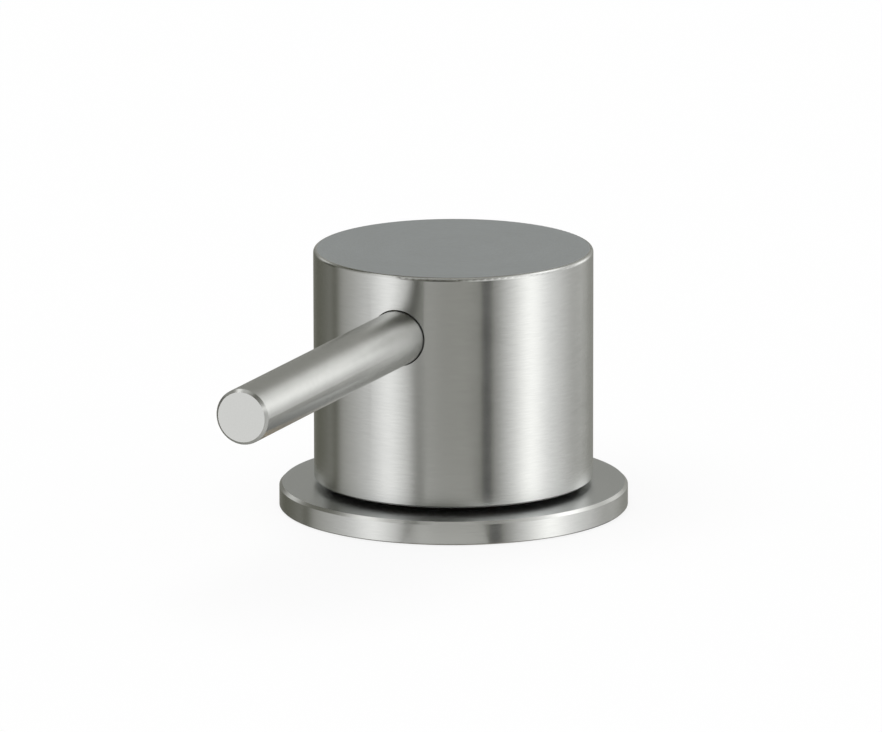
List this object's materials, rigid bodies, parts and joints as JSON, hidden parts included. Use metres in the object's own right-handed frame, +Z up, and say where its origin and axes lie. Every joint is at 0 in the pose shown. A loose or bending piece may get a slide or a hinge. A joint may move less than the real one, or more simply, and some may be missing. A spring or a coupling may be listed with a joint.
{
  "type": "deck-mounted mixer tap",
  "caption": "Round brushed-steel deck mixer control with a straight side lever, a flat flange, a progressive cartridge and a threaded shank with its deck clamp.",
  "frame": {"origin": "on the deck surface, in the middle of the flange's underside, on the shank's axis", "axes": "+Z up out of the deck along the knob's axis; the closed lever points along -Y"},
  "size_m": [0.06, 0.1173, 0.107],
  "materials": {
    "brushed_steel": "brushed round the axis",
    "brass": "turned",
    "zinc_steel": "zinc plated",
    "seal_rubber": "matt",
    "cartridge_plastic": "moulded",
    "slide_plastic": "smooth",
    "disc_ceramic": "lapped"
  },
  "bodies": {
    "valve": {"valve_body": "brass", "deck_flange": "brushed_steel", "cartridge_housing": "cartridge_plastic", "cartridge_nut": "brass", "fixed_disc": "disc_ceramic", "port_gasket": "seal_rubber", "cartridge_base": "cartridge_plastic", "base_seals": "seal_rubber", "glide_ring": "slide_plastic", "collar_seal": "seal_rubber", "deck_seal": "seal_rubber", "clamp_gasket": "seal_rubber", "clamp_washer": "zinc_steel", "back_nut": "brass", "jack_screws": "zinc_steel"},
    "control": {"knob_shell": "brushed_steel", "lever": "brushed_steel", "knob_hub": "brass", "hub_screws": "zinc_steel", "hub_grub_screw": "zinc_steel", "cartridge_stem": "brass", "stem_o_rings": "seal_rubber", "thrust_washer": "slide_plastic", "stop_ring": "brass", "disc_carrier": "cartridge_plastic", "moving_disc": "disc_ceramic"}
  },
  "joints": [
    {"name": "lever_turn", "type": "hinge", "parent": "valve", "child": "control", "pos_m": [0, 0, 0.0342], "axis": [0, 0, 1], "range_deg": [0, 100]}
  ]
}
